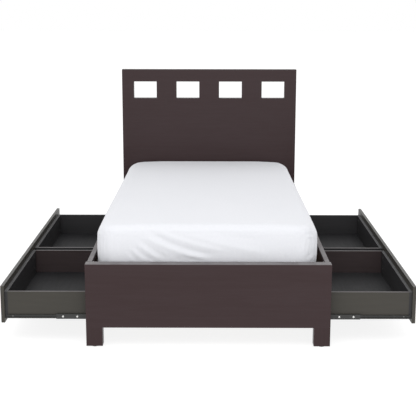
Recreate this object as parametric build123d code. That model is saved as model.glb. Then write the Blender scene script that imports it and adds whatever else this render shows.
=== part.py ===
from build123d import *
import os

# Twin platform bed with a windowed headboard and four drawers, two on each long side.
# Frame: +Z up, +Y from the foot to the head, X across, origin on the floor under the middle.
# The drawers are drawn pulled out; they close by sliding towards X = 0.

os.makedirs("parts", exist_ok=True)

# Overall sizes
WIDTH = 1070.0           # outside width of the headboard and the footboard
CLEAR_LENGTH = 1927.0    # inner face of the footboard to the front face of the headboard
HEAD_HEIGHT = 1074.0
FOOT_HEIGHT = 376.0      # top of the footboard and of the side rails
HEAD_THICK = 48.0
FOOT_THICK = 50.0
PANEL_BOTTOM = 90.0      # height of both end panels above the floor
LEG_WIDTH = 72.0
GLIDE_THICK = 6.0
GLIDE_RADIUS = 14.0

# Windows of the headboard
WINDOW_COUNT = 4
WINDOW_WIDTH = 140.0
WINDOW_HEIGHT = 102.0
WINDOW_TOP_MARGIN = 74.0
WINDOW_SIDE_MARGIN = 72.0

# Side rails, slats and mattress
RAIL_THICK = 22.0
RAIL_INSET = 5.0         # rail face behind the ends of the end panels
LEDGER_WIDTH = 28.0
LEDGER_HEIGHT = 24.0
SLAT_COUNT = 13
SLAT_WIDTH = 90.0
SLAT_THICK = 18.0
SLAT_END_GAP = 12.0
SLAT_SIDE_GAP = 1.0
BEAM_WIDTH = 44.0
BEAM_HEIGHT = 40.0
CENTRE_LEG_WIDTH = 40.0
CENTRE_LEG_FROM_FOOT = 420.0
CENTRE_LEG_FROM_HEAD = 160.0
MATTRESS_WIDTH = 985.0
MATTRESS_THICK = 224.0
MATTRESS_PLAY = 11.0     # gap at each end of the mattress
MATTRESS_CORNER = 60.0   # plan radius of its corners
MATTRESS_RIM = 24.0      # radius of its top and bottom rims
BOARD_THICK = 19.0       # partitions and spine

# Drawers
FRONT_HEIGHT = 167.5
FRONT_THICK = 16.0
FRONT_GAP = 3.0          # seam round each drawer front
FOOT_FRONT_SHARE = 0.3996   # length of each front as a share of the clear length
HEAD_FRONT_SHARE = 0.4556
HEAD_OVERHANG = 38.0     # head-end front reaches past the head partition's face
TRAVEL = 386.0
BOX_THICK = 14.0
BOX_HEIGHT = 123.0
BOX_RAISE = 17.0         # box bottom above the bottom of its front
BOX_BACK_CLEAR = 32.0    # from the bed's middle plane to the closed box
BOTTOM_THICK = 5.0
BOTTOM_RAISE = 4.0
GROOVE_DEPTH = 6.0

# Telescopic slides: three nested channels on each side of a box
SLIDE_THICK = 12.7
SLIDE_LENGTH = 400.0
SLIDE_SETBACK = 8.0      # slide end behind the closed drawer front
SLIDE_RAISE = 11.5       # slide centre line above the box bottom
STEEL = 1.5
MIDDLE_SETBACK = 27.0    # middle member's end behind the fixed member's end
MIDDLE_LENGTH = 380.0
RIVET_SETBACKS = (30.0, 93.0)   # stop rivets from the middle member's outer end
RIVET_RADIUS = 3.5
FIXED_HEIGHT = 29.0
MIDDLE_HEIGHT = 22.0
DRAWER_MEMBER_HEIGHT = 13.0
FIXED_REACH = 9.0        # how far each channel reaches from the partition
MIDDLE_REACH = 11.0
MIDDLE_START = 3.2
DRAWER_MEMBER_START = 6.2

# Hardware
SCREW_RADIUS = 2.0
SCREW_HEAD_RADIUS = 4.0
SCREW_HEAD_THICK = 1.5
SCREW_LENGTH = 24.0
FRONT_SCREW_LOW = 42.0    # front screws above the box bottom
FRONT_SCREW_HIGH = 24.0   # and below its top
FRONT_SCREW_IN = 60.0     # and in from its ends
SLIDE_SCREW_LENGTH = 10.0
SLIDE_SCREW_SETBACKS = (27.0, 260.0, 373.0)   # from the outer end of each drawer member
BRACKET_ARM = 50.0
BRACKET_MAX_HEIGHT = 46.0
BRACKET_MARGIN = 5.0     # least room above and below a bracket
BRACKET_STEEL = 3.0
BRACKET_SCREW_REACH = 36.0   # from the corner
BRACKET_SCREW_SHARE = 0.3    # screws above and below the middle, as a share of the height
EDGE_ROUND = 2.5

# Places worked out from the sizes above
y_foot = -(FOOT_THICK + CLEAR_LENGTH + HEAD_THICK) / 2
y_foot_in = y_foot + FOOT_THICK
y_head_in = y_foot_in + CLEAR_LENGTH
y_head = y_head_in + HEAD_THICK
x_rail = WIDTH / 2 - RAIL_INSET
x_rail_in = x_rail - RAIL_THICK
front_bottom = PANEL_BOTTOM + 4.5
front_top = front_bottom + FRONT_HEIGHT
rail_bottom = front_top + FRONT_GAP
ledger_bottom = rail_bottom + 1.0
slat_bottom = ledger_bottom + LEDGER_HEIGHT
slat_top = slat_bottom + SLAT_THICK
beam_bottom = slat_bottom - BEAM_HEIGHT
bracket_middle = (slat_top + FOOT_HEIGHT) / 2
bracket_height = min(BRACKET_MAX_HEIGHT, FOOT_HEIGHT - slat_top - 2 * BRACKET_MARGIN)

foot_front = (y_foot_in + FRONT_GAP, y_foot_in + FRONT_GAP + FOOT_FRONT_SHARE * CLEAR_LENGTH)
head_front_start = foot_front[1] + FRONT_GAP
head_front = (head_front_start, head_front_start + HEAD_FRONT_SHARE * CLEAR_LENGTH)
end_panel_start = head_front[1] + FRONT_GAP
mid_partition = foot_front[1] + FRONT_GAP / 2 - BOARD_THICK / 2
head_partition = head_front[1] - HEAD_OVERHANG
spine_bottom = front_bottom

box_bottom = front_bottom + BOX_RAISE
box_top = box_bottom + BOX_HEIGHT
slide_level = box_bottom + SLIDE_RAISE
x_front = x_rail + TRAVEL
x_box = x_front - FRONT_THICK
x_box_back = BOX_BACK_CLEAR + TRAVEL
x_slide = x_rail - FRONT_THICK - SLIDE_SETBACK

SIDES = (("left", -1), ("right", 1))
BAYS = (
    ("foot", foot_front, y_foot_in, mid_partition),
    ("head", head_front, mid_partition + BOARD_THICK, head_partition),
)


def block(x0, x1, y0, y1, z0, z1):
    """Box between two corners given in any order."""
    middle = Pos((x0 + x1) / 2, (y0 + y1) / 2, (z0 + z1) / 2)
    return middle * Box(abs(x1 - x0), abs(y1 - y0), abs(z1 - z0))


def plane_edges(shape, axis, places):
    """Edges along one axis that stand at any of the given (u, v) places."""
    others = {"X": ("Y", "Z"), "Y": ("X", "Z"), "Z": ("X", "Y")}[axis]
    wanted = []
    for edge in shape.edges().filter_by(getattr(Axis, axis)):
        middle = edge.center()
        at = tuple(getattr(middle, name) for name in others)
        if any(abs(at[0] - u) < 0.01 and abs(at[1] - v) < 0.01 for u, v in places):
            wanted.append(edge)
    return wanted


def save(node, *solids):
    """Write one STEP, with the solids kept apart."""
    shape = solids[0] if len(solids) == 1 else Compound(children=list(solids))
    shape.label = node
    export_step(shape, os.path.join("parts", node + ".step"))


def rod(start, direction, radius, length):
    """Cylinder from a start point along a direction."""
    at = Plane(origin=start, z_dir=direction)
    return at * Cylinder(radius, length, align=(Align.CENTER, Align.CENTER, Align.MIN))


def screw(start, direction, length):
    """Pan-head screw whose head sits on the surface at start and whose shank goes inwards."""
    away = tuple(-part for part in direction)
    head = rod(start, away, SCREW_HEAD_RADIUS, SCREW_HEAD_THICK)
    head = fillet(head.edges().sort_by(lambda e: (e.center() - Vector(*start)).length)[-1], 0.9)
    recess = rod(tuple(s + a * (SCREW_HEAD_THICK - 0.8) for s, a in zip(start, away)), away, 1.2, 2.0)
    return head + rod(start, direction, SCREW_RADIUS, length) - recess


def drilled(shape, start, direction, length):
    """The same shape with a hole that a screw of that place and length fills."""
    return shape - rod(start, direction, SCREW_RADIUS, length)


def end_panel_block(y0, y1, height):
    """Headboard or footboard panel with eased outer edges, standing on its legs."""
    half = WIDTH / 2
    panel = block(-half, half, y0, y1, PANEL_BOTTOM, height)
    top = plane_edges(panel, "X", [(y0, height), (y1, height)])
    uprights = plane_edges(panel, "Z", [(-half, y0), (-half, y1), (half, y0), (half, y1)])
    ends = plane_edges(panel, "Y", [(-half, height), (half, height)])
    return fillet(top + uprights + ends, EDGE_ROUND)


def window_places():
    """Left edge of each window."""
    room = WIDTH - 2 * WINDOW_SIDE_MARGIN - WINDOW_WIDTH
    pitch = room / (WINDOW_COUNT - 1)
    return [-WIDTH / 2 + WINDOW_SIDE_MARGIN + index * pitch for index in range(WINDOW_COUNT)]


def make_end_boards():
    """Headboard with its windows, footboard, and the four legs below them."""
    head = end_panel_block(y_head_in, y_head, HEAD_HEIGHT)
    top = HEAD_HEIGHT - WINDOW_TOP_MARGIN
    for x0 in window_places():
        head -= block(x0, x0 + WINDOW_WIDTH, y_head_in - 1, y_head + 1, top - WINDOW_HEIGHT, top)
    foot = end_panel_block(y_foot, y_foot_in, FOOT_HEIGHT)
    for _, side in SIDES:
        for start, direction in bracket_screws(side, "board"):
            head = drilled(head, start, direction, SLIDE_SCREW_LENGTH)
            foot = drilled(foot, start, direction, SLIDE_SCREW_LENGTH)
    save("headboard_panel", head)
    save("footboard_panel", foot)
    for board, y0, y1 in (("headboard", y_head_in, y_head), ("footboard", y_foot, y_foot_in)):
        for name, side in SIDES:
            outer = side * WIDTH / 2
            inner = side * (WIDTH / 2 - LEG_WIDTH)
            leg = block(outer, inner, y0, y1, GLIDE_THICK, PANEL_BOTTOM)
            save(f"{board}_leg_{name}", fillet(leg.edges().filter_by(Axis.Z), EDGE_ROUND))


def centre_leg_places():
    """Centre legs: well behind the footboard, near the middle partition, and near the headboard."""
    middle = mid_partition + BOARD_THICK + CENTRE_LEG_WIDTH
    return (y_foot_in + CENTRE_LEG_FROM_FOOT, middle, y_head_in - CENTRE_LEG_FROM_HEAD)


def make_glides():
    """Round glides under the four corner legs and the centre legs."""
    x_leg = WIDTH / 2 - LEG_WIDTH / 2
    y_legs = (y_foot + FOOT_THICK / 2, y_head - HEAD_THICK / 2)
    places = [(side * x_leg, y) for _, side in SIDES for y in y_legs]
    places += [(0.0, y) for y in centre_leg_places()]
    glides = [rod((x, y, 0.0), (0, 0, 1), GLIDE_RADIUS, GLIDE_THICK) for x, y in places]
    save("floor_glides", *glides)


def ledger_block(side, y0, y1):
    """Stretch of the ledger that carries the slats along one rail."""
    inner = side * (x_rail_in - LEDGER_WIDTH)
    return block(side * x_rail_in, inner, y0, y1, ledger_bottom, slat_bottom)


def make_rails():
    """Side rails, the fixed panels beside the head drawers, and the ledgers."""
    for name, side in SIDES:
        outer = side * x_rail
        inner = side * x_rail_in
        rail = block(outer, inner, y_foot_in, y_head_in, rail_bottom, FOOT_HEIGHT)
        rail = fillet(plane_edges(rail, "Y", [(outer, FOOT_HEIGHT), (inner, FOOT_HEIGHT)]), EDGE_ROUND)
        for start, direction in bracket_screws(side, "rail"):
            rail = drilled(rail, start, direction, SLIDE_SCREW_LENGTH)
        save(f"side_rail_{name}", rail)
        panel = block(outer, inner, end_panel_start, y_head_in, front_bottom, rail_bottom)
        save(f"end_panel_{name}", panel)
        save(f"slat_ledger_{name}", ledger_block(side, y_foot_in, y_head_in))


def make_slats():
    """Slats across the ledgers and the beam, evenly spaced."""
    first = y_foot_in + SLAT_END_GAP
    pitch = (CLEAR_LENGTH - 2 * SLAT_END_GAP - SLAT_WIDTH) / (SLAT_COUNT - 1)
    half = x_rail_in - SLAT_SIDE_GAP
    slats = []
    for index in range(SLAT_COUNT):
        y0 = first + index * pitch
        slat = block(-half, half, y0, y0 + SLAT_WIDTH, slat_bottom, slat_top)
        slats.append(fillet(slat.edges().filter_by(Axis.X), 1.5))
    save("slats", *slats)


def beam_cut():
    """Room of the centre beam along the whole bed."""
    half = BEAM_WIDTH / 2
    return block(-half, half, y_foot_in, y_head_in, beam_bottom, slat_bottom)


def make_carcass():
    """Beam, its legs, the spine board and the two partitions half-lapped over the spine."""
    save("centre_beam", beam_cut())
    half = BOARD_THICK / 2
    spine = block(-half, half, y_foot_in, y_head_in, spine_bottom, beam_bottom)
    lap = (spine_bottom + beam_bottom) / 2
    for node, y0 in (("partition_mid", mid_partition), ("partition_head", head_partition)):
        y1 = y0 + BOARD_THICK
        board = block(-x_rail_in, x_rail_in, y0, y1, spine_bottom, slat_bottom)
        board -= beam_cut()
        board -= block(-half, half, y0, y1, spine_bottom, lap)
        for _, side in SIDES:
            board -= ledger_block(side, y0, y1)
        spine -= block(-half, half, y0, y1, lap, beam_bottom)
        save(node, board)
    save("spine_board", spine)
    leg_half = CENTRE_LEG_WIDTH / 2
    legs = []
    for y in centre_leg_places():
        leg = block(-leg_half, leg_half, y - leg_half, y + leg_half, GLIDE_THICK, spine_bottom)
        legs.append(fillet(leg.edges().filter_by(Axis.Z), EDGE_ROUND))
    save("centre_legs", *legs)


def bracket_screws(side, arm):
    """Screw places and directions of the two brackets on one side, for their rail or board arm."""
    spread = BRACKET_SCREW_SHARE * bracket_height
    levels = (bracket_middle - spread, bracket_middle + spread)
    places = []
    for y_board, inward in ((y_foot_in, 1), (y_head_in, -1)):
        for level in levels:
            if arm == "rail":
                across, along = BRACKET_STEEL, BRACKET_SCREW_REACH
                direction = (side, 0, 0)
            else:
                across, along = BRACKET_SCREW_REACH, BRACKET_STEEL
                direction = (0, -inward, 0)
            start = (side * (x_rail_in - across), y_board + inward * along, level)
            places.append((start, direction))
    return places


def make_brackets():
    """Steel angles in the four inner corners, above the slats, and their screws."""
    low = bracket_middle - bracket_height / 2
    high = bracket_middle + bracket_height / 2
    brackets = []
    screws = []
    for _, side in SIDES:
        for y_board, inward in ((y_foot_in, 1), (y_head_in, -1)):
            x_face = side * x_rail_in
            x_tip = side * (x_rail_in - BRACKET_ARM)
            along = y_board + inward * BRACKET_ARM
            arm = block(x_face, side * (x_rail_in - BRACKET_STEEL), y_board, along, low, high)
            foot = block(x_face, x_tip, y_board, y_board + inward * BRACKET_STEEL, low, high)
            brackets.append(arm + foot)
        for arm_name in ("rail", "board"):
            for start, direction in bracket_screws(side, arm_name):
                screws.append(screw(start, direction, SLIDE_SCREW_LENGTH))
                brackets = [drilled(item, start, direction, BRACKET_STEEL) for item in brackets]
    save("corner_brackets", *brackets)
    save("bracket_screws", *screws)


def channel(x0, x1, wall, into, start, reach, height):
    """Slide member: a channel whose web faces the wall and whose flanges point at the drawer."""
    y_web = wall + into * start
    y_lip = wall + into * reach
    outer = block(x0, x1, y_web, y_lip, slide_level - height / 2, slide_level + height / 2)
    inside = height / 2 - STEEL
    return outer - block(x0, x1, y_web + into * STEEL, y_lip, slide_level - inside, slide_level + inside)


def drawer_member(side, wall, into):
    """Innermost member: its web lies on the box and its flanges point back at the wall."""
    x1 = side * (x_slide + TRAVEL)
    x0 = side * (x_slide + TRAVEL - SLIDE_LENGTH)
    y_box = wall + into * SLIDE_THICK
    y_lip = wall + into * DRAWER_MEMBER_START
    half = DRAWER_MEMBER_HEIGHT / 2
    outer = block(x0, x1, y_lip, y_box, slide_level - half, slide_level + half)
    inside = half - STEEL
    return outer - block(x0, x1, y_lip, y_box - into * STEEL, slide_level - inside, slide_level + inside)


def slide_screws(side, wall, into):
    """Places and directions of the screws through one drawer member into the box."""
    y_head_seat = wall + into * (SLIDE_THICK - STEEL)
    outer_end = x_slide + TRAVEL
    places = [(side * (outer_end - at), y_head_seat, slide_level) for at in SLIDE_SCREW_SETBACKS]
    return [(place, (0, into, 0)) for place in places]


def front_screws(side, y0, y1):
    """Places and directions of the screws that hold the front, driven from inside the box."""
    x_seat = side * (x_box - BOX_THICK)
    low = box_bottom + FRONT_SCREW_LOW
    high = box_top - FRONT_SCREW_HIGH
    ends = (y0 + FRONT_SCREW_IN, y1 - FRONT_SCREW_IN)
    return [((x_seat, y, z), (side, 0, 0)) for y in ends for z in (low, high)]


def make_drawer(bay, name, side, front_span, wall_foot, wall_head):
    """One drawer: front, four box boards, bottom, two slides' moving members and screws."""
    prefix = f"drawer_{bay}_{name}"
    y0 = wall_foot + SLIDE_THICK
    y1 = wall_head - SLIDE_THICK
    x_out = side * x_box
    x_back = side * x_box_back
    x_front_in = side * (x_box - BOX_THICK)
    x_back_in = side * (x_box_back + BOX_THICK)
    z_floor = box_bottom + BOTTOM_RAISE
    floor = block(
        x_front_in + side * GROOVE_DEPTH, x_back_in - side * GROOVE_DEPTH,
        y0 + BOX_THICK - GROOVE_DEPTH, y1 - BOX_THICK + GROOVE_DEPTH,
        z_floor, z_floor + BOTTOM_THICK,
    )
    front = block(side * x_front, x_out, front_span[0], front_span[1], front_bottom, front_top)
    outer_edges = plane_edges(front, "Y", [(side * x_front, front_top), (side * x_front, front_bottom)])
    outer_edges += plane_edges(front, "Z", [(side * x_front, y) for y in front_span])
    front = fillet(outer_edges, EDGE_ROUND)
    box_front = block(x_out, x_front_in, y0, y1, box_bottom, box_top) - floor
    for start, direction in front_screws(side, y0, y1):
        front = drilled(front, start, direction, SCREW_LENGTH)
        box_front = drilled(box_front, start, direction, SCREW_LENGTH)
    screws = [screw(start, direction, SCREW_LENGTH) for start, direction in front_screws(side, y0, y1)]
    back = block(x_back, x_back_in, y0 + BOX_THICK, y1 - BOX_THICK, box_bottom, box_top) - floor

    walls = (("side_foot", wall_foot, 1, y0), ("side_head", wall_head, -1, y1))
    members = []
    middles = []
    for board_name, wall, into, y_outer in walls:
        y_inner = y_outer + into * BOX_THICK
        board = block(x_front_in, x_back, y_outer, y_inner, box_bottom, box_top) - floor
        member = drawer_member(side, wall, into)
        for start, direction in slide_screws(side, wall, into):
            board = drilled(board, start, direction, SLIDE_SCREW_LENGTH)
            member = drilled(member, start, direction, SLIDE_SCREW_LENGTH)
            screws.append(screw(start, direction, SLIDE_SCREW_LENGTH))
        members.append(member)
        middles.append(middle_member(side, wall, into))
        save(f"{prefix}_{board_name}", board)
    save(f"{prefix}_front", front)
    save(f"{prefix}_box_front", box_front)
    save(f"{prefix}_back", back)
    save(f"{prefix}_bottom", floor)
    save(f"{prefix}_slide_members", *members)
    save(f"{prefix}_slide_middles", *middles)
    save(f"{prefix}_screws", *screws)


def middle_member(side, wall, into):
    """Middle member at half the drawer's travel, with the two rivet holes near its outer end."""
    outer_end = x_slide - MIDDLE_SETBACK + TRAVEL / 2
    x1 = side * outer_end
    x0 = side * (outer_end - MIDDLE_LENGTH)
    member = channel(x0, x1, wall, into, MIDDLE_START, MIDDLE_REACH, MIDDLE_HEIGHT)
    for at in RIVET_SETBACKS:
        start = (side * (outer_end - at), wall + into * MIDDLE_START, slide_level)
        member -= rod(start, (0, into, 0), RIVET_RADIUS, STEEL)
    return member


def make_fixed_members():
    """The eight fixed slide members, on the footboard and on the partitions."""
    members = []
    for _, _, wall_foot, wall_head in BAYS:
        for _, side in SIDES:
            for wall, into in ((wall_foot, 1), (wall_head, -1)):
                x0 = side * (x_slide - SLIDE_LENGTH)
                members.append(channel(x0, side * x_slide, wall, into, 0.0, FIXED_REACH, FIXED_HEIGHT))
    save("slide_fixed_members", *members)


def make_mattress():
    half = MATTRESS_WIDTH / 2
    y0 = y_foot_in + MATTRESS_PLAY
    y1 = y_head_in - MATTRESS_PLAY
    body = block(-half, half, y0, y1, slat_top, slat_top + MATTRESS_THICK)
    body = fillet(body.edges().filter_by(Axis.Z), MATTRESS_CORNER)
    rims = body.faces().sort_by(Axis.Z)
    save("mattress", fillet(rims[-1].edges() + rims[0].edges(), MATTRESS_RIM))


make_end_boards()
make_glides()
make_rails()
make_slats()
make_carcass()
make_brackets()
make_fixed_members()
make_mattress()
for bay_name, span, foot_wall, head_wall in BAYS:
    for side_name, sign in SIDES:
        make_drawer(bay_name, side_name, sign, span, foot_wall, head_wall)
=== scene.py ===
import math

import bpy
import numpy as np
from mathutils import Matrix, Vector, noise


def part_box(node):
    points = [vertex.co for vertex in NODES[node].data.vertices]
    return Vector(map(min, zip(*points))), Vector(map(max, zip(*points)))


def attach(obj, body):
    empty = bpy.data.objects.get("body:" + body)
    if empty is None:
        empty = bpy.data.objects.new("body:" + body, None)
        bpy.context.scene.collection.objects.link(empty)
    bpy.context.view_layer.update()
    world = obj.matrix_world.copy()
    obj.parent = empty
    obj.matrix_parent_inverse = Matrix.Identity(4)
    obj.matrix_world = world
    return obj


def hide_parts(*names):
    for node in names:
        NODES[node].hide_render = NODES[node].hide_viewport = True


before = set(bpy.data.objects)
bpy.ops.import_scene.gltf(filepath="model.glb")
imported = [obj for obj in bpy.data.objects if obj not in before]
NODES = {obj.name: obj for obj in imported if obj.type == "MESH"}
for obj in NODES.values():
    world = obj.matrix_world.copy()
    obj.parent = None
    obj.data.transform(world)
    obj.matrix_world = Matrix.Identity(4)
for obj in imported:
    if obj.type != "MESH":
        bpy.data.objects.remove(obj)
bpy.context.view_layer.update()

BODY = "bed_frame"
BAYS = ("foot", "head")
SIDES = (("left", -1), ("right", 1))

foot_low, foot_high = (Vector(corner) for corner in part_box("footboard_panel"))
pad_low, pad_high = (Vector(corner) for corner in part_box("mattress"))


# ---------------------------------------------------------------- shader groups

def new_group(name, inputs, outputs):
    """Empty shader group with named sockets."""
    group = bpy.data.node_groups.new(name, "ShaderNodeTree")
    for label, kind, default in inputs:
        socket = group.interface.new_socket(label, in_out="INPUT", socket_type=kind)
        socket.default_value = default
    for label, kind in outputs:
        group.interface.new_socket(label, in_out="OUTPUT", socket_type=kind)
    return group, group.nodes.new("NodeGroupInput"), group.nodes.new("NodeGroupOutput")


def add(tree, kind, **settings):
    """New node with its properties and input values set."""
    node = tree.nodes.new(kind)
    for key, value in settings.items():
        if key == "inputs":
            for label, setting in value.items():
                node.inputs[label].default_value = setting
        else:
            setattr(node, key, value)
    return node


def mix_colour(tree, factor, low, high):
    """Colour mix; each argument is a socket or a plain value."""
    node = tree.nodes.new("ShaderNodeMix")
    node.data_type = "RGBA"
    for socket, value in zip((node.inputs[0], node.inputs[6], node.inputs[7]), (factor, low, high)):
        if isinstance(value, bpy.types.NodeSocket):
            tree.links.new(value, socket)
        else:
            socket.default_value = value
    return node.outputs[2]


def calculate(tree, operation, first, second, clamp=False):
    """Math node of two sockets or numbers."""
    node = tree.nodes.new("ShaderNodeMath")
    node.operation = operation
    node.use_clamp = clamp
    for socket, value in zip(node.inputs, (first, second)):
        if isinstance(value, bpy.types.NodeSocket):
            tree.links.new(value, socket)
        else:
            socket.default_value = value
    return node.outputs[0]


def weighted(tree, first, first_share, second, second_share):
    """Sum of two sockets, each times its share."""
    return calculate(
        tree, "ADD",
        calculate(tree, "MULTIPLY", first, first_share),
        calculate(tree, "MULTIPLY", second, second_share),
    )


def ramp(tree, value, stops):
    """Rise smoothly from 0 to 1 between two stops."""
    node = tree.nodes.new("ShaderNodeMapRange")
    node.interpolation_type = "SMOOTHSTEP"
    node.inputs["From Min"].default_value, node.inputs["From Max"].default_value = stops
    tree.links.new(value, node.inputs["Value"])
    return node.outputs["Result"]


PORES_PER_STREAK = 6.0       # pores are this much finer than the streaks
STREAK_SHARE = 0.3           # how much of the tone the streaks carry; broad clouds carry the rest
PORE_STAIN = 0.2             # stain gathered in the pores
STREAK_ROUGHNESS = 0.06
STREAK_RELIEF = 0.4          # share of the height from streaks; pores make up the rest
STREAK_STOPS = (0.36, 0.66)  # noise values where streaks, clouds and pores start and are full
CLOUD_STOPS = (0.3, 0.7)
PORE_STOPS = (0.3, 0.45)


def stained_grain_group():
    """Streaky close-pored grain under stain: colour, roughness and a fine height."""
    group, given, out = new_group(
        "stained_grain",
        [
            ("Vector", "NodeSocketVector", (0.0, 0.0, 0.0)),
            ("Deep", "NodeSocketColor", (0.02, 0.01, 0.01, 1.0)),
            ("Light", "NodeSocketColor", (0.05, 0.03, 0.02, 1.0)),
            ("Streaks", "NodeSocketFloat", 60.0),
            ("Roughness", "NodeSocketFloat", 0.35),
        ],
        [("Color", "NodeSocketColor"), ("Roughness", "NodeSocketFloat"), ("Height", "NodeSocketFloat")],
    )
    cloud = add(group, "ShaderNodeTexNoise", inputs={"Scale": 2.2, "Detail": 3.0, "Roughness": 0.55})
    group.links.new(given.outputs["Vector"], cloud.inputs["Vector"])
    streak = add(group, "ShaderNodeTexNoise",
                 inputs={"Detail": 7.0, "Roughness": 0.68, "Distortion": 0.35})
    group.links.new(given.outputs["Vector"], streak.inputs["Vector"])
    group.links.new(given.outputs["Streaks"], streak.inputs["Scale"])
    pore = add(group, "ShaderNodeTexNoise", inputs={"Detail": 2.0, "Roughness": 0.5})
    group.links.new(given.outputs["Vector"], pore.inputs["Vector"])
    fineness = calculate(group, "MULTIPLY", given.outputs["Streaks"], PORES_PER_STREAK)
    group.links.new(fineness, pore.inputs["Scale"])
    streaks = ramp(group, streak.outputs["Fac"], STREAK_STOPS)
    clouds = ramp(group, cloud.outputs["Fac"], CLOUD_STOPS)
    pores = ramp(group, pore.outputs["Fac"], PORE_STOPS)
    depth = weighted(group, streaks, STREAK_SHARE, clouds, 1.0 - STREAK_SHARE)
    tone = mix_colour(group, depth, given.outputs["Deep"], given.outputs["Light"])
    dark = calculate(group, "MULTIPLY", calculate(group, "SUBTRACT", 1.0, pores), PORE_STAIN)
    group.links.new(mix_colour(group, dark, tone, given.outputs["Deep"]), out.inputs["Color"])
    rougher = calculate(group, "MULTIPLY", streaks, STREAK_ROUGHNESS)
    rough = calculate(group, "ADD", given.outputs["Roughness"], rougher)
    group.links.new(rough, out.inputs["Roughness"])
    height = weighted(group, streaks, STREAK_RELIEF, pores, 1.0 - STREAK_RELIEF)
    group.links.new(height, out.inputs["Height"])
    return group


# Pale grey laid on level faces: partly dust, partly painted sheen for the white surroundings reflected
# there.
DUST_AND_SHEEN_GREY = (0.46, 0.46, 0.47, 1.0)
DUST_AND_SHEEN_ROUGHNESS = 0.6         # added where the dust and painted sheen lie
UPWARD = (0.55, 0.98)        # how level a face has to be to take dust and painted sheen
PATCH_STOPS = (-0.2, 0.9)


def dust_and_painted_sheen_group():
    """Grey on faces looking up, patchy at hand scale: partly thin dust, partly painted sheen for the
    bright surroundings reflected in level faces.
    """
    group, given, out = new_group(
        "dust_and_painted_sheen",
        [
            ("Vector", "NodeSocketVector", (0.0, 0.0, 0.0)),
            ("Color", "NodeSocketColor", (0.1, 0.1, 0.1, 1.0)),
            ("Roughness", "NodeSocketFloat", 0.4),
            ("Amount", "NodeSocketFloat", 0.05),
        ],
        [("Color", "NodeSocketColor"), ("Roughness", "NodeSocketFloat")],
    )
    geometry = group.nodes.new("ShaderNodeNewGeometry")
    parts = group.nodes.new("ShaderNodeSeparateXYZ")
    group.links.new(geometry.outputs["Normal"], parts.inputs[0])
    patch = add(group, "ShaderNodeTexNoise", inputs={"Scale": 14.0, "Detail": 5.0, "Roughness": 0.7})
    group.links.new(given.outputs["Vector"], patch.inputs["Vector"])
    upward = ramp(group, parts.outputs["Z"], UPWARD)
    patches = ramp(group, patch.outputs["Fac"], PATCH_STOPS)
    dust_and_sheen_place = calculate(group, "MULTIPLY", upward, patches)
    mask = calculate(group, "MULTIPLY", dust_and_sheen_place, given.outputs["Amount"], clamp=True)
    group.links.new(mix_colour(group, mask, given.outputs["Color"], DUST_AND_SHEEN_GREY), out.inputs["Color"])
    rougher = calculate(group, "MULTIPLY", mask, DUST_AND_SHEEN_ROUGHNESS)
    rough = calculate(group, "ADD", given.outputs["Roughness"], rougher)
    group.links.new(rough, out.inputs["Roughness"])
    return group


SLUB_STOPS = (0.3, 0.75)


def plain_weave_group():
    """Over-and-under threads of a plain cotton weave, as a height and a tone."""
    group, given, out = new_group(
        "plain_weave",
        [("Vector", "NodeSocketVector", (0.0, 0.0, 0.0)), ("Threads", "NodeSocketFloat", 1200.0)],
        [("Height", "NodeSocketFloat"), ("Tone", "NodeSocketFloat")],
    )
    split = group.nodes.new("ShaderNodeSeparateXYZ")
    group.links.new(given.outputs["Vector"], split.inputs[0])
    waves = []
    for axis in ("X", "Y"):
        turned = calculate(group, "MULTIPLY", split.outputs[axis], given.outputs["Threads"])
        waves.append(calculate(group, "SINE", turned, 0.0))
    crossing = calculate(group, "MULTIPLY", waves[0], waves[1])
    height = calculate(group, "ADD", calculate(group, "MULTIPLY", crossing, 0.5), 0.5)
    group.links.new(height, out.inputs["Height"])
    slub = add(group, "ShaderNodeTexNoise", inputs={"Scale": 90.0, "Detail": 4.0, "Roughness": 0.6})
    group.links.new(given.outputs["Vector"], slub.inputs["Vector"])
    group.links.new(ramp(group, slub.outputs["Fac"], SLUB_STOPS), out.inputs["Tone"])
    return group


GRAIN = stained_grain_group()
DUST_AND_SHEEN = dust_and_painted_sheen_group()
WEAVE = plain_weave_group()


# ---------------------------------------------------------------- materials

def new_material(name, **shader):
    """Material with one Principled shader and its plain values."""
    material = bpy.data.materials.new(name)
    material.use_nodes = True
    surface = material.node_tree.nodes["Principled BSDF"]
    for label, value in shader.items():
        surface.inputs[label.replace("_", " ")].default_value = value
    return material, material.node_tree, surface


def object_place(tree, stretch=(1.0, 1.0, 1.0), shift=(0.0, 0.0, 0.0)):
    """Object coordinates through a mapping."""
    coords = tree.nodes.new("ShaderNodeTexCoord")
    mapping = add(tree, "ShaderNodeMapping", inputs={"Scale": stretch, "Location": shift})
    tree.links.new(coords.outputs["Object"], mapping.inputs["Vector"])
    return mapping.outputs["Vector"]


def place_group(tree, group, links, values):
    """Group node with some sockets linked and others set."""
    node = tree.nodes.new("ShaderNodeGroup")
    node.node_tree = group
    for label, value in values.items():
        node.inputs[label].default_value = value
    for label, socket in links.items():
        tree.links.new(socket, node.inputs[label])
    return node


def bump(tree, surface, height, distance):
    """Relief of a given depth on the shader's normal."""
    node = add(tree, "ShaderNodeBump", inputs={"Distance": distance, "Strength": 1.0})
    tree.links.new(height, node.inputs["Height"])
    tree.links.new(node.outputs["Normal"], surface.inputs["Normal"])


STRETCH = 0.07               # scale of the pattern along the grain
ALONG = {"X": (STRETCH, 1.0, 1.0), "Y": (1.0, STRETCH, 1.0), "Z": (1.0, 1.0, STRETCH)}
SHIFT_DIRECTION = (1.0, 0.7, 1.3)


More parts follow.
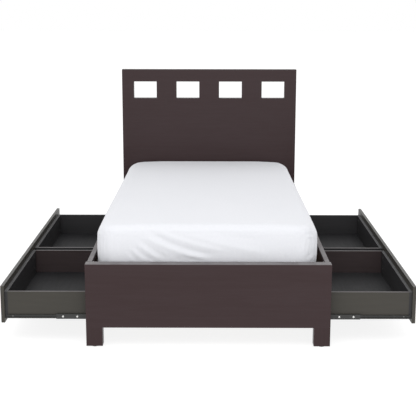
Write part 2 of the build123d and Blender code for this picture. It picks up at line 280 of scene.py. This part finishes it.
def grained(name, along, deep, light, streaks=60.0, rough=0.36, level=0.25, dust_and_sheen=0.05,
            relief=0.00012, shift=0.0):
    """Wood with its grain along one axis, a satin finish and a little dust and painted sheen on top
    faces.
    """
    material, tree, surface = new_material(name, Specular_IOR_Level=level)
    place = object_place(tree, ALONG[along], tuple(shift * share for share in SHIFT_DIRECTION))
    grain = place_group(
        tree, GRAIN, {"Vector": place},
        {"Deep": (*deep, 1.0), "Light": (*light, 1.0), "Streaks": streaks, "Roughness": rough},
    )
    flat = object_place(tree)
    with_dust_and_sheen = place_group(
        tree, DUST_AND_SHEEN,
        {"Vector": flat, "Color": grain.outputs["Color"], "Roughness": grain.outputs["Roughness"]},
        {"Amount": dust_and_sheen},
    )
    tree.links.new(with_dust_and_sheen.outputs["Color"], surface.inputs["Base Color"])
    tree.links.new(with_dust_and_sheen.outputs["Roughness"], surface.inputs["Roughness"])
    bump(tree, surface, grain.outputs["Height"], relief)
    return material


FOIL_ROUGHNESS = 0.42
# Painted sheen with some dust on the top edges of drawer fronts and box sides.
FOIL_DUST_AND_SHEEN = 0.2
FOIL_RELIEF = 0.00008
TURNS_OUTWARD = (0.5, 0.8)   # how squarely a face looks outward before it takes the outer tone


def two_faced(name, axis, outward, outer, inner, along, streaks=60.0):
    """Board with one finish on the face that looks outward along an axis and another on the rest; on the
    drawer fronts these are two real finishes, on the box sides the darker tone is painted shade.
    """
    material, tree, surface = new_material(name, Specular_IOR_Level=0.25)
    geometry = tree.nodes.new("ShaderNodeNewGeometry")
    parts = tree.nodes.new("ShaderNodeSeparateXYZ")
    tree.links.new(geometry.outputs["Normal"], parts.inputs[0])
    outside = ramp(tree, calculate(tree, "MULTIPLY", parts.outputs[axis], outward), TURNS_OUTWARD)
    place = object_place(tree, ALONG[along])
    faces = [
        place_group(
            tree, GRAIN, {"Vector": place},
            {"Deep": (*deep, 1.0), "Light": (*light, 1.0), "Streaks": streaks,
             "Roughness": FOIL_ROUGHNESS},
        )
        for deep, light in (outer, inner)
    ]
    outer_face, inner_face = faces
    colour = mix_colour(tree, outside, inner_face.outputs["Color"], outer_face.outputs["Color"])
    with_dust_and_sheen = place_group(
        tree, DUST_AND_SHEEN,
        {"Vector": object_place(tree), "Color": colour, "Roughness": outer_face.outputs["Roughness"]},
        {"Amount": FOIL_DUST_AND_SHEEN},
    )
    tree.links.new(with_dust_and_sheen.outputs["Color"], surface.inputs["Base Color"])
    tree.links.new(with_dust_and_sheen.outputs["Roughness"], surface.inputs["Roughness"])
    bump(tree, surface, outer_face.outputs["Height"], FOIL_RELIEF)
    return material


DRAWN = (0.03, 1.0, 1.0)     # scale of the drawn lines, which run along X
SCUFF = 0.25                 # how far a scuff turns to the bright tone
SCUFFED = (0.52, 0.72)
BRIGHT_GAIN, BRIGHT_LIFT = 2.2, 0.04
LINE_ROUGHNESS = 0.12
LINE_RELIEF = 0.00003


def coated_steel(name, colour, rough, metallic=0.0):
    """Coated or plated steel with faint drawn lines and scuffs."""
    material, tree, surface = new_material(name, Metallic=metallic)
    place = object_place(tree, DRAWN)
    lines = add(tree, "ShaderNodeTexNoise", inputs={"Scale": 900.0, "Detail": 3.0, "Roughness": 0.6})
    tree.links.new(place, lines.inputs["Vector"])
    scuffs = add(tree, "ShaderNodeTexNoise", inputs={"Scale": 38.0, "Detail": 8.0, "Roughness": 0.75})
    tree.links.new(object_place(tree), scuffs.inputs["Vector"])
    worn = calculate(tree, "MULTIPLY", ramp(tree, scuffs.outputs["Fac"], SCUFFED), SCUFF)
    bright = tuple(min(1.0, channel * BRIGHT_GAIN + BRIGHT_LIFT) for channel in colour)
    shade = mix_colour(tree, worn, (*colour, 1.0), (*bright, 1.0))
    tree.links.new(shade, surface.inputs["Base Color"])
    drawn = calculate(tree, "MULTIPLY", lines.outputs["Fac"], LINE_ROUGHNESS)
    tree.links.new(calculate(tree, "ADD", drawn, rough), surface.inputs["Roughness"])
    bump(tree, surface, lines.outputs["Fac"], LINE_RELIEF)
    return material


NYLON_TONES = ((0.018, 0.018, 0.018), (0.035, 0.035, 0.036))
NYLON_RELIEF = 0.00006
NYLON_ROUGH_STOPS = (-0.6, 1.2)


def moulded_nylon():
    """Black nylon with a fine speckle in tone, shine and height."""
    material, tree, surface = new_material("glide_nylon", Specular_IOR_Level=0.4)
    speckle = add(tree, "ShaderNodeTexNoise", inputs={"Scale": 700.0, "Detail": 3.0})
    tree.links.new(object_place(tree), speckle.inputs["Vector"])
    deep, light = ((*tone, 1.0) for tone in NYLON_TONES)
    shade = mix_colour(tree, speckle.outputs["Fac"], deep, light)
    tree.links.new(shade, surface.inputs["Base Color"])
    rough = ramp(tree, speckle.outputs["Fac"], NYLON_ROUGH_STOPS)
    tree.links.new(rough, surface.inputs["Roughness"])
    bump(tree, surface, speckle.outputs["Fac"], NYLON_RELIEF)
    return material


SLUB_SHARE = 0.4             # how much of the cloth's tone the slubs carry


def woven(name, deep, light, threads, relief):
    """Plain-woven cloth with slubs, a soft sheen and threads that stand up a little."""
    material, tree, surface = new_material(
        name, Roughness=0.85, Sheen_Weight=0.15, Sheen_Roughness=0.5, Specular_IOR_Level=0.2,
    )
    coords = tree.nodes.new("ShaderNodeTexCoord")
    weave = place_group(tree, WEAVE, {"Vector": coords.outputs["UV"]}, {"Threads": threads})
    soft = add(tree, "ShaderNodeTexNoise", inputs={"Scale": 3.0, "Detail": 3.0})
    tree.links.new(coords.outputs["Object"], soft.inputs["Vector"])
    tone = weighted(tree, weave.outputs["Tone"], SLUB_SHARE, soft.outputs["Fac"], 1.0 - SLUB_SHARE)
    shade = mix_colour(tree, tone, (*deep, 1.0), (*light, 1.0))
    tree.links.new(shade, surface.inputs["Base Color"])
    bump(tree, surface, weave.outputs["Height"], relief)
    return material


ESPRESSO_TONES = ((0.0255, 0.0115, 0.0120), (0.0350, 0.0200, 0.0215))
OLIVE_TONES = ((0.038, 0.035, 0.029), (0.050, 0.046, 0.039))
# Dark foil of the carcass; also painted shade on the drawer-box faces inside the boxes and in the gap
# between the bays.
DARK_TONES = ((0.020, 0.020, 0.021), (0.033, 0.032, 0.034))
# Painted shade: the inside faces of the drawer sides.
SHADED_INNER_TONES = ((0.032, 0.023, 0.023), (0.048, 0.035, 0.036))
# Painted shade: the drawer bottoms, darkened for the shade inside the drawers.
SHADED_BOTTOM_TONES = ((0.0090, 0.0092, 0.0102), (0.0165, 0.0165, 0.0180))
PINE_TONES = ((0.52, 0.33, 0.17), (0.70, 0.52, 0.32))
SLAT_TONES = ((0.16, 0.095, 0.050), (0.24, 0.155, 0.090))
COTTON_TONES = ((0.635, 0.643, 0.675), (0.675, 0.682, 0.710))
TICKING_TONES = ((0.62, 0.62, 0.60), (0.74, 0.74, 0.72))
BARE_WOOD = {"streaks": 38.0, "rough": 0.55, "level": 0.4, "dust_and_sheen": 0.0, "relief": 0.0002}
BOARD_APART = 3.0            # shift between the patterns of boards that run different ways

# Painted sheen with some dust: a large share of pale grey on the top faces stands for the white
# surroundings reflected at a grazing angle.
ESPRESSO = {
    axis: grained("espresso_" + axis, axis, *ESPRESSO_TONES, dust_and_sheen=0.42, shift=BOARD_APART * index)
    for index, axis in enumerate("XYZ")
}
CARCASS = grained("carcass_foil", "X", *DARK_TONES, rough=0.5)
PINE = {axis: grained("pine_" + axis, axis, *PINE_TONES, **BARE_WOOD) for axis in "YZ"}
SLAT_WOOD = grained("slat_wood", "X", *SLAT_TONES, **BARE_WOOD)
FRONT = {
    name: two_faced("drawer_front_" + name, "X", side, ESPRESSO_TONES, OLIVE_TONES, "Y")
    for name, side in SIDES
}
# Painted shade: each side is the same olive board, given darker tones on the faces inside the box and on
# the faces that look into the gap between the foot and head bays.
BOX_SIDE = {
    (bay, part): two_faced(name, "Y", outward, outer, inner, "X", streaks=85.0)
    for bay, part, name, outward, outer, inner in (
        ("foot", "side_foot", "box_side_shown", -1.0, OLIVE_TONES, SHADED_INNER_TONES),
        ("foot", "side_head", "box_side_hidden", 1.0, DARK_TONES, SHADED_INNER_TONES),
        ("head", "side_foot", "box_side_gap", -1.0, DARK_TONES, SHADED_INNER_TONES),
        ("head", "side_head", "box_side_last", 1.0, OLIVE_TONES, DARK_TONES),
    )
}
# Painted shade: the box fronts, backs and bottoms take dark tones for the shade inside the drawers.
BOX_INNER = grained("box_board_inner", "Y", *DARK_TONES, streaks=50.0, rough=0.5, dust_and_sheen=0.2)
BOX_BOTTOM = grained("box_bottom", "Y", *SHADED_BOTTOM_TONES, streaks=40.0, rough=0.55, dust_and_sheen=0.01)
BLACK_STEEL = coated_steel("slide_black", (0.020, 0.020, 0.019), rough=0.38)
SCREW_STEEL = coated_steel("screw_oxide", (0.16, 0.16, 0.155), rough=0.42, metallic=1.0)
ZINC = coated_steel("zinc_plate", (0.62, 0.62, 0.60), rough=0.25, metallic=1.0)
NYLON = moulded_nylon()
COTTON = woven("cotton_sheet", *COTTON_TONES, threads=5200.0, relief=0.00006)
TICKING = woven("mattress_ticking", *TICKING_TONES, threads=3000.0, relief=0.00012)


def dress(node, material):
    """Give a CAD node its finish."""
    slots = NODES[node].material_slots
    for slot in slots:
        slot.material = material
    if not slots:
        NODES[node].data.materials.append(material)


def dress_frame():
    """Finishes of everything that stays in place."""
    for node in ("headboard_panel", "footboard_panel"):
        dress(node, ESPRESSO["X"])
    for name, _ in SIDES:
        for board in ("headboard", "footboard"):
            dress(f"{board}_leg_{name}", ESPRESSO["Z"])
        dress(f"side_rail_{name}", ESPRESSO["Y"])
        dress(f"end_panel_{name}", ESPRESSO["Y"])
        dress(f"slat_ledger_{name}", ESPRESSO["Y"])
    dress("slats", SLAT_WOOD)
    dress("centre_beam", PINE["Y"])
    dress("centre_legs", PINE["Z"])
    for node in ("partition_mid", "partition_head", "spine_board"):
        dress(node, CARCASS)
    dress("floor_glides", NYLON)
    dress("corner_brackets", ZINC)
    dress("bracket_screws", ZINC)
    dress("slide_fixed_members", BLACK_STEEL)


def dress_drawers():
    """Finishes of the four drawers and their slides."""
    finishes = {
        "box_front": BOX_INNER, "back": BOX_INNER, "bottom": BOX_BOTTOM,
        "slide_members": BLACK_STEEL, "slide_middles": BLACK_STEEL, "screws": SCREW_STEEL,
    }
    for name, _ in SIDES:
        for bay in BAYS:
            dress(f"drawer_{bay}_{name}_front", FRONT[name])
            for part, material in finishes.items():
                dress(f"drawer_{bay}_{name}_{part}", material)
        for (bay, part), material in BOX_SIDE.items():
            dress(f"drawer_{bay}_{name}_{part}", material)


# ---------------------------------------------------------------- mattress and sheet

RAIL_TOP = foot_high.z       # top of the footboard
PLAN_RADIUS = 0.085          # corners seen from above
SIDE_RIM = 0.047             # top and bottom edges along the sides
END_RIM = 0.027              # and across the ends
RIM_BLEND = 0.05             # half the stretch over which one turns into the other
SIDE_EASE = 0.008            # the stretched cloth narrows the pad
SLIP = -0.005                # pad a little off the middle
SHEET_GAP = 0.003            # cloth over the pad
SIDE_ROOM = 0.004            # and around it, room for the grooves
BELLY = 0.004                # how far the sides swell
BELLY_LEVEL = RAIL_TOP + 0.060
BELLY_REACH = 0.095          # from the swell's middle to where it ends
BELLY_PINCH = 0.6            # most that the sides draw in beyond it, as a share of the swell
CROWN = 0.004                # rise of the top
SIDE_FALL = 0.007            # fall of the top toward the sides
SIDE_FALL_REACH = (0.55, 1.05)
HEAD_FALL = 0.025            # and toward the head
HEAD_FALL_REACH = (0.1, 1.0)
PAD_CELL = 0.02
TINY = 1e-9

TUCK = 0.09                  # cloth turned under the pad
SHEET_CELL = 0.0070
UNDERSIDE_APART = 3.0        # keeps the underside's flat places clear of the top's
FEWEST_CELLS = 4
FEWEST_TUCKED = 2


def smooth(value, low, high):
    """Rise of an array smoothly from 0 to 1 between two limits."""
    share = np.clip((value - low) / (high - low), 0.0, 1.0)
    return share * share * (3.0 - 2.0 * share)


def box_net(low, high, cell, tuck=None):
    """Gridded box as points, quads and flat cloth places; with a tuck its underside is only a border."""
    size = np.array(high - low)
    counts = [max(FEWEST_CELLS, round(float(length) / cell)) for length in size]
    nx, ny, nz = counts
    points, quads, flats, index = [], [], [], {}

    def vertex(i, j, k):
        key = (i, j, k)
        if key not in index:
            index[key] = len(points)
            points.append([low[a] + size[a] * key[a] / counts[a] for a in range(3)])
        return index[key]

    def quad(corners, flat):
        quads.append([vertex(*corner) for corner in corners])
        flats.extend(flat(*corner) for corner in corners)

    step = [size[a] / counts[a] for a in range(3)]

    def top_flat(i, j, k):
        return (i * step[0], j * step[1])

    def foot_flat(i, j, k):
        return (i * step[0], -(nz - k) * step[2])

    def head_flat(i, j, k):
        return (i * step[0], size[1] + (nz - k) * step[2])

    def left_flat(i, j, k):
        return (-(nz - k) * step[2], j * step[1])

    def right_flat(i, j, k):
        return (size[0] + (nz - k) * step[2], j * step[1])

    def under_flat(i, j, k):
        return (i * step[0], j * step[1] + UNDERSIDE_APART)

    border = nx if tuck is None else max(FEWEST_TUCKED, round(tuck / cell))
    for i in range(nx):
        for j in range(ny):
            quad([(i, j, nz), (i + 1, j, nz), (i + 1, j + 1, nz), (i, j + 1, nz)], top_flat)
            if min(i, nx - 1 - i, j, ny - 1 - j) < border:
                quad([(i, j, 0), (i, j + 1, 0), (i + 1, j + 1, 0), (i + 1, j, 0)], under_flat)
    for k in range(nz):
        for i in range(nx):
            quad([(i, 0, k), (i + 1, 0, k), (i + 1, 0, k + 1), (i, 0, k + 1)], foot_flat)
            quad([(i + 1, ny, k), (i, ny, k), (i, ny, k + 1), (i + 1, ny, k + 1)], head_flat)
        for j in range(ny):
            quad([(0, j + 1, k), (0, j, k), (0, j, k + 1), (0, j + 1, k + 1)], left_flat)
            quad([(nx, j, k), (nx, j + 1, k), (nx, j + 1, k + 1), (nx, j, k + 1)], right_flat)
    return np.array(points), quads, flats


def mesh_object(name, points, quads, flats, material):
    """Smooth-shaded object with its flat cloth places as a UV map."""
    mesh = bpy.data.meshes.new(name)
    mesh.from_pydata(points.tolist(), [], quads)
    layer = mesh.uv_layers.new(name="cloth")
    layer.data.foreach_set("uv", [value for pair in flats for value in pair])
    mesh.polygons.foreach_set("use_smooth", [True] * len(mesh.polygons))
    mesh.materials.append(material)
    obj = bpy.data.objects.new(name, mesh)
    bpy.context.scene.collection.objects.link(obj)
    return obj


def pillowed(points, low, high):
    """Round a gridded box into a crowned mattress; gives the points and their sideways directions."""
    middle, half = np.array((low + high) / 2), np.array((high - low) / 2)
    local = points - middle
    sign = np.sign(local)
    place = np.abs(local)
    over = np.clip(place[:, :2] - (half[:2] - PLAN_RADIUS), 0.0, None)
    out = np.hypot(over[:, 0], over[:, 1])
    reach = over.max(axis=1)
    scale = np.where(out > TINY, reach / np.maximum(out, TINY), 1.0)
    plan = np.minimum(place[:, :2], half[:2] - PLAN_RADIUS) + over * scale[:, None]
    heading = over / np.maximum(out, TINY)[:, None]
    side_edge, end_edge = (half[:2] - place[:, :2]).T
    rim = SIDE_RIM + (END_RIM - SIDE_RIM) * smooth(side_edge - end_edge, -RIM_BLEND, RIM_BLEND)
    across = np.clip(rim - np.minimum(side_edge, end_edge), 0.0, rim)
    up = np.clip(rim - (half[2] - place[:, 2]), 0.0, rim)
    length = np.hypot(across, up)
    turn = np.where(length > TINY, np.maximum(across, up) / np.maximum(length, TINY), 1.0)
    plan -= heading * (across * (1.0 - turn))[:, None]
    level = place[:, 2] - up * (1.0 - turn)
    height = middle[2] + sign[:, 2] * level
    belly = BELLY * (1.0 - ((height - BELLY_LEVEL) / BELLY_REACH) ** 2)
    plan += heading * np.clip(belly, -BELLY_PINCH * BELLY, None)[:, None]
    shaped = np.column_stack([
        middle[0] + sign[:, 0] * plan[:, 0], middle[1] + sign[:, 1] * plan[:, 1], height,
    ])
    loft = smooth(height, middle[2], high[2])
    side_fall = SIDE_FALL * smooth(plan[:, 0] / half[0], *SIDE_FALL_REACH)
    head_share = (shaped[:, 1] - low[1]) / (2 * half[1])
    head_fall = HEAD_FALL * smooth(head_share, *HEAD_FALL_REACH)
    shaped[:, 2] += loft * (CROWN - side_fall - head_fall)
    return shaped, heading * sign[:, :2]


def make_mattress():
    """The pad under the sheet."""
    inset = Vector((SIDE_EASE + SIDE_ROOM, SIDE_ROOM, SHEET_GAP))
    slip = Vector((SLIP, 0.0, 0.0))
    low, high = pad_low + inset + slip, pad_high - inset + slip
    points, quads, flats = box_net(low, high, PAD_CELL)
    shaped, _ = pillowed(points, low, high)
    pad = mesh_object("mattress_pad", shaped, quads, flats, TICKING)
    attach(pad, BODY)
    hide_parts("mattress")
    return pad


# Drag folds on the foot side: three (x, z) places, x from the sheet's middle and z above the top of the
# footboard, then the half width and the height of the ridge (a groove where negative).
FOLDS = (
    ((-0.262, 0.152), (-0.170, 0.064), (0.055, 0.030), 0.0075, -0.0050),
    ((-0.285, 0.130), (-0.185, 0.048), (0.020, 0.016), 0.0100, 0.0045),
    ((-0.235, 0.154), (-0.130, 0.092), (0.100, 0.046), 0.0120, 0.0042),
    ((-0.205, 0.150), (-0.105, 0.112), (0.040, 0.080), 0.0090, -0.0022),
    ((-0.140, 0.128), (0.010, 0.094), (0.300, 0.032), 0.0170, 0.0036),
    ((-0.060, 0.148), (0.070, 0.124), (0.250, 0.100), 0.0130, -0.0018),
    ((-0.300, 0.108), (-0.240, 0.052), (-0.165, 0.016), 0.0060, -0.0038),
    ((-0.312, 0.096), (-0.262, 0.046), (-0.196, 0.008), 0.0060, 0.0034),
    ((-0.322, 0.078), (-0.292, 0.036), (-0.226, 0.006), 0.0048, -0.0036),
    ((-0.334, 0.068), (-0.306, 0.032), (-0.262, 0.002), 0.0048, 0.0032),
    ((-0.346, 0.060), (-0.324, 0.026), (-0.300, 0.000), 0.0042, -0.0034),
    ((-0.358, 0.050), (-0.338, 0.024), (-0.318, 0.000), 0.0042, 0.0028),
    ((-0.130, 0.032), (-0.080, 0.018), (-0.020, 0.008), 0.0045, -0.0030),
    ((-0.105, 0.038), (-0.050, 0.026), (0.015, 0.014), 0.0045, 0.0026),
    ((-0.150, 0.024), (-0.110, 0.012), (-0.070, 0.002), 0.0040, -0.0026),
    ((0.425, 0.134), (0.446, 0.126), (0.474, 0.118), 0.0042, -0.0030),
    ((0.440, 0.112), (0.458, 0.104), (0.484, 0.086), 0.0042, -0.0028),
    ((0.430, 0.124), (0.452, 0.116), (0.480, 0.104), 0.0050, 0.0024),
    ((0.425, 0.022), (0.450, 0.034), (0.478, 0.056), 0.0055, -0.0026),
    ((0.435, 0.006), (0.458, 0.018), (0.484, 0.040), 0.0045, 0.0024),
)
FOLD_STEPS = 33
FOLD_RISE = 0.25             # share of a fold's length over which it starts
FOLD_FADE = 0.2              # and ends
FOLD_SHARPNESS = 1.25


def fold_relief(x, z):
    """Sum of the drag folds at places on the foot side."""
    relief = np.zeros_like(x)
    steps = np.linspace(0.0, 1.0, FOLD_STEPS)
    for start, bend, end, width, height in FOLDS:
        trail = [
            (1 - steps) ** 2 * start[a] + 2 * steps * (1 - steps) * bend[a] + steps ** 2 * end[a]
            for a in range(2)
        ]
        away = np.hypot(x[:, None] - trail[0], z[:, None] - trail[1])
        nearest = away.argmin(axis=1)
        share = steps[nearest]
        taper = smooth(share, 0.0, FOLD_RISE) * smooth(1.0 - share, 0.0, FOLD_FADE)
        relief += height * taper * np.exp(-(away.min(axis=1) / width) ** FOLD_SHARPNESS)
    return relief


SEED_STEP = (7.31, 3.17, 1.73)


def ripple(points, scale, seed, stretch):
    """Soft noise at each point, about -1 to 1."""
    move = Vector([seed * step for step in SEED_STEP])
    return np.array([
        noise.noise(Vector([along * share for along, share in zip(point, stretch)]) * scale + move)
        for point in points.tolist()
    ])


def unevenness(points, layers):
    """Sum of noises, each with its scale, seed, stretch and height."""
    return sum(ripple(points, scale, seed, stretch) * height for scale, seed, stretch, height in layers)


SETTLE_FRAMES = 9
CLOTH_GAP = 0.002


def settle(sheet, pad, held):
    """Let the cloth relax over the pad while its tucked edge is held."""
    group = sheet.vertex_groups.new(name="tucked")
    group.add(np.flatnonzero(held).tolist(), 1.0, "REPLACE")
    pad.modifiers.new("stop", "COLLISION")
    pad.collision.thickness_outer = CLOTH_GAP
    cloth = sheet.modifiers.new("cloth", "CLOTH")
    settings = cloth.settings
    settings.quality = 5
    settings.mass = 0.2
    settings.air_damping = 4.0
    settings.tension_stiffness = settings.compression_stiffness = 25.0
    settings.shear_stiffness = 12.0
    settings.bending_stiffness = 0.6
    settings.vertex_group_mass = group.name
    settings.pin_stiffness = 1.0
    settings.shrink_min = -0.004
    cloth.collision_settings.distance_min = CLOTH_GAP
    cloth.collision_settings.use_self_collision = False
    cloth.point_cache.frame_start, cloth.point_cache.frame_end = 1, SETTLE_FRAMES
    scene = bpy.context.scene
    for frame_number in range(1, SETTLE_FRAMES + 1):
        scene.frame_set(frame_number)
    graph = bpy.context.evaluated_depsgraph_get()
    mesh = bpy.data.meshes.new_from_object(sheet.evaluated_get(graph))
    for obj in (sheet, pad):
        obj.modifiers.clear()
    sheet.data = mesh
    sheet.vertex_groups.clear()
    scene.frame_set(1)


# Scale, seed, stretch and height of each noise on the sides and on the top.
DRAPE = ((9.0, 1.0, (1.0, 1.0, 0.35), 0.0022), (26.0, 2.0, (1.0, 1.0, 0.3), 0.0007))
LIFT = ((4.2, 3.0, (0.55, 1.0, 1.0), 0.0022), (13.0, 4.0, (0.35, 1.0, 1.0), 0.0006))
LOOKS_FOOTWARD = (0.3, 0.95)
AT_CORNER = (0.15, 0.6)
PLEATS = 44.0                # waves of gathered cloth in a full turn
PLEAT_DEPTH = 0.0022
PLEAT_TOP = RAIL_TOP + 0.10
PLEAT_FADE = 0.09
DEEPEST_GROOVE = 0.0035
TOP_EDGE = 0.03              # the lift of the top dies out over this depth below it
UNDER_BAND = 0.004           # cloth within this height of the underside is held
UNDER_RISE = 0.0006


def make_sheet(pad):
    """Fitted sheet: stretched over the pad, dragged at the foot, gathered on elastic underneath."""
    inset = Vector((SIDE_EASE, 0.0, 0.0))
    slip = Vector((SLIP, 0.0, 0.0))
    low, high = pad_low + inset + slip, pad_high - inset + slip
    points, quads, flats = box_net(low, high, SHEET_CELL, TUCK)
    shaped, heading = pillowed(points, low, high)
    middle_x = (low.x + high.x) / 2
    on_foot = smooth(-heading[:, 1], *LOOKS_FOOTWARD)
    side = np.hypot(heading[:, 0], heading[:, 1])
    folds = fold_relief(shaped[:, 0] - middle_x, shaped[:, 2] - RAIL_TOP) * on_foot
    corner = smooth(np.minimum(np.abs(heading[:, 0]), np.abs(heading[:, 1])), *AT_CORNER)
    pleats = np.sin(np.arctan2(heading[:, 1], heading[:, 0]) * PLEATS) * PLEAT_DEPTH * corner
    pleats *= smooth(PLEAT_TOP - shaped[:, 2], 0.0, PLEAT_FADE)
    relief = np.clip(folds, -DEEPEST_GROOVE, None) + pleats * side
    shaped[:, :2] += heading * (unevenness(shaped, DRAPE) * side)[:, None]
    on_top = smooth(shaped[:, 2], high.z - TOP_EDGE, high.z) * (1.0 - side)
    shaped[:, 2] += unevenness(shaped, LIFT) * on_top
    under = shaped[:, 2] < low.z + UNDER_BAND
    shaped[under, 2] += UNDER_RISE
    sheet = mesh_object("fitted_sheet", shaped, quads, flats, COTTON)
    settle(sheet, pad, under)
    for vertex, direction, rise in zip(sheet.data.vertices, heading.tolist(), relief.tolist()):
        vertex.co.x += direction[0] * rise
        vertex.co.y += direction[1] * rise
    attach(sheet, BODY)
    return sheet


# ---------------------------------------------------------------- slide rivets

RIVET_RADIUS = 0.0048
RIVET_HEIGHT = 0.0014
RIVET_SETBACKS = (0.030, 0.093)
RIVET_SEAT = 0.0004          # dome centre inside the member's web


def rivet_tree(material):
    """Domed heads set on the points of a mesh, all facing along Y."""
    tree = bpy.data.node_groups.new("rivet_heads", "GeometryNodeTree")
    tree.interface.new_socket("Points", in_out="INPUT", socket_type="NodeSocketGeometry")
    sizes = {}
    for label, value in (("Radius", RIVET_RADIUS), ("Height", RIVET_HEIGHT)):
        socket = tree.interface.new_socket(label, in_out="INPUT", socket_type="NodeSocketFloat")
        socket.default_value = value
        sizes[label] = socket.identifier
    tree.interface.new_socket("Rivets", in_out="OUTPUT", socket_type="NodeSocketGeometry")
    given, out = tree.nodes.new("NodeGroupInput"), tree.nodes.new("NodeGroupOutput")
    dome = add(tree, "GeometryNodeMeshUVSphere", inputs={"Segments": 20, "Rings": 10, "Radius": 1.0})
    scale = tree.nodes.new("ShaderNodeCombineXYZ")
    tree.links.new(given.outputs["Radius"], scale.inputs["X"])
    tree.links.new(given.outputs["Height"], scale.inputs["Y"])
    tree.links.new(given.outputs["Radius"], scale.inputs["Z"])
    place = tree.nodes.new("GeometryNodeInstanceOnPoints")
    tree.links.new(given.outputs["Points"], place.inputs["Points"])
    tree.links.new(dome.outputs["Mesh"], place.inputs["Instance"])
    tree.links.new(scale.outputs[0], place.inputs["Scale"])
    real = tree.nodes.new("GeometryNodeRealizeInstances")
    smoothed = tree.nodes.new("GeometryNodeSetShadeSmooth")
    finish = add(tree, "GeometryNodeSetMaterial", inputs={"Material": material})
    tree.links.new(place.outputs["Instances"], real.inputs["Geometry"])
    tree.links.new(real.outputs["Geometry"], smoothed.inputs["Geometry"])
    tree.links.new(smoothed.outputs["Geometry"], finish.inputs["Geometry"])
    tree.links.new(finish.outputs["Geometry"], out.inputs["Rivets"])
    return tree, sizes


def grown(name, points, tree, sizes, values):
    """Run a geometry tree on loose points and keep the result as a plain mesh."""
    cloud = bpy.data.meshes.new(name + "_points")
    cloud.from_pydata(points, [], [])
    obj = bpy.data.objects.new(name, cloud)
    bpy.context.scene.collection.objects.link(obj)
    modifier = obj.modifiers.new("grow", "NODES")
    modifier.node_group = tree
    for label, value in values.items():
        modifier[sizes[label]] = value
    bpy.context.view_layer.update()
    graph = bpy.context.evaluated_depsgraph_get()
    mesh = bpy.data.meshes.new_from_object(obj.evaluated_get(graph))
    obj.modifiers.clear()
    obj.data = mesh
    return obj


def make_rivets():
    """Stop rivets in the two holes near the outer end of each middle slide member."""
    tree, sizes = rivet_tree(ZINC)
    for bay in BAYS:
        for name, side in SIDES:
            low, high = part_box(f"drawer_{bay}_{name}_slide_middles")
            outer = high[0] if side > 0 else low[0]
            level = (low[2] + high[2]) / 2
            points = []
            for wall, into in ((low[1], 1), (high[1], -1)):
                for back in RIVET_SETBACKS:
                    points.append((outer - side * back, wall + into * RIVET_SEAT, level))
            rivets = grown(f"slide_rivets_{bay}_{name}", points, tree, sizes,
                           {"Radius": RIVET_RADIUS, "Height": RIVET_HEIGHT})
            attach(rivets, f"drawer_{bay}_{name}_slides")


dress_frame()
dress_drawers()
make_sheet(make_mattress())
make_rivets()


# ---------------------------------------------------------------- floor, light and camera

FLOOR_SIZE = 80.0
FLOOR_GREY = (0.25, 0.25, 0.25, 1.0)
FLOOR_GLOW = 0.85            # keeps the floor white far beyond the lights
WHITE = (1.0, 1.0, 1.0, 1.0)


def make_floor():
    """Pale studio floor."""
    bpy.ops.mesh.primitive_plane_add(size=FLOOR_SIZE, location=(0.0, 0.0, 0.0))
    floor = bpy.context.object
    floor.name = "studio_floor"
    material, _, _ = new_material(
        "floor_paper", Roughness=0.9, Specular_IOR_Level=0.1, Base_Color=FLOOR_GREY,
        Emission_Color=WHITE, Emission_Strength=FLOOR_GLOW,
    )
    floor.data.materials.append(material)


SOFTBOXES = (
    ("high_softbox", (-0.6, -3.4, 4.4), (4.0, 2.5), 88.0),
    ("front_fill", (0.3, -6.0, 1.5), (3.5, 1.6), 28.0),
)
LIGHTS_AIM = Vector((0.0, 0.0, 0.3))


def make_lights():
    """White surroundings and two softboxes; each has a place, a size and its watts."""
    world = bpy.data.worlds.new("studio")
    bpy.context.scene.world = world
    world.use_nodes = True
    sky = world.node_tree.nodes["Background"]
    sky.inputs["Color"].default_value = WHITE
    sky.inputs["Strength"].default_value = 1.0
    for name, place, size, energy in SOFTBOXES:
        light = bpy.data.lights.new(name, "AREA")
        light.shape = "RECTANGLE"
        light.size, light.size_y = size
        light.energy = energy
        lamp = bpy.data.objects.new(name, light)
        bpy.context.scene.collection.objects.link(lamp)
        facing = (LIGHTS_AIM - Vector(place)).to_track_quat("-Z", "Y")
        lamp.matrix_world = Matrix.Translation(place) @ facing.to_matrix().to_4x4()


SENSOR = 36.0                # millimetres, as the lens
LENS = 85.66
TILT = math.radians(11.965)
TURN = math.radians(-0.127)
ROLL = math.radians(0.085)
CAMERA_ASIDE = 0.0075
CAMERA_BACK = 4.1274         # from the footboard's face
CAMERA_HEIGHT = 1.5007


def make_camera():
    """Camera in front of the footboard, looking a little down on the bed."""
    data = bpy.data.cameras.new("view")
    data.sensor_width = SENSOR
    data.lens = LENS
    camera = bpy.data.objects.new("view", data)
    bpy.context.scene.collection.objects.link(camera)
    place = Vector((CAMERA_ASIDE, foot_low.y - CAMERA_BACK, CAMERA_HEIGHT))
    camera.matrix_world = (
        Matrix.Translation(place) @ Matrix.Rotation(-TURN, 4, "Z")
        @ Matrix.Rotation(math.pi / 2 - TILT, 4, "X") @ Matrix.Rotation(ROLL, 4, "Z")
    )
    bpy.context.scene.camera = camera


make_floor()
make_lights()
make_camera()
bpy.context.scene.view_settings.view_transform = "Standard"

bpy.context.view_layer.update()
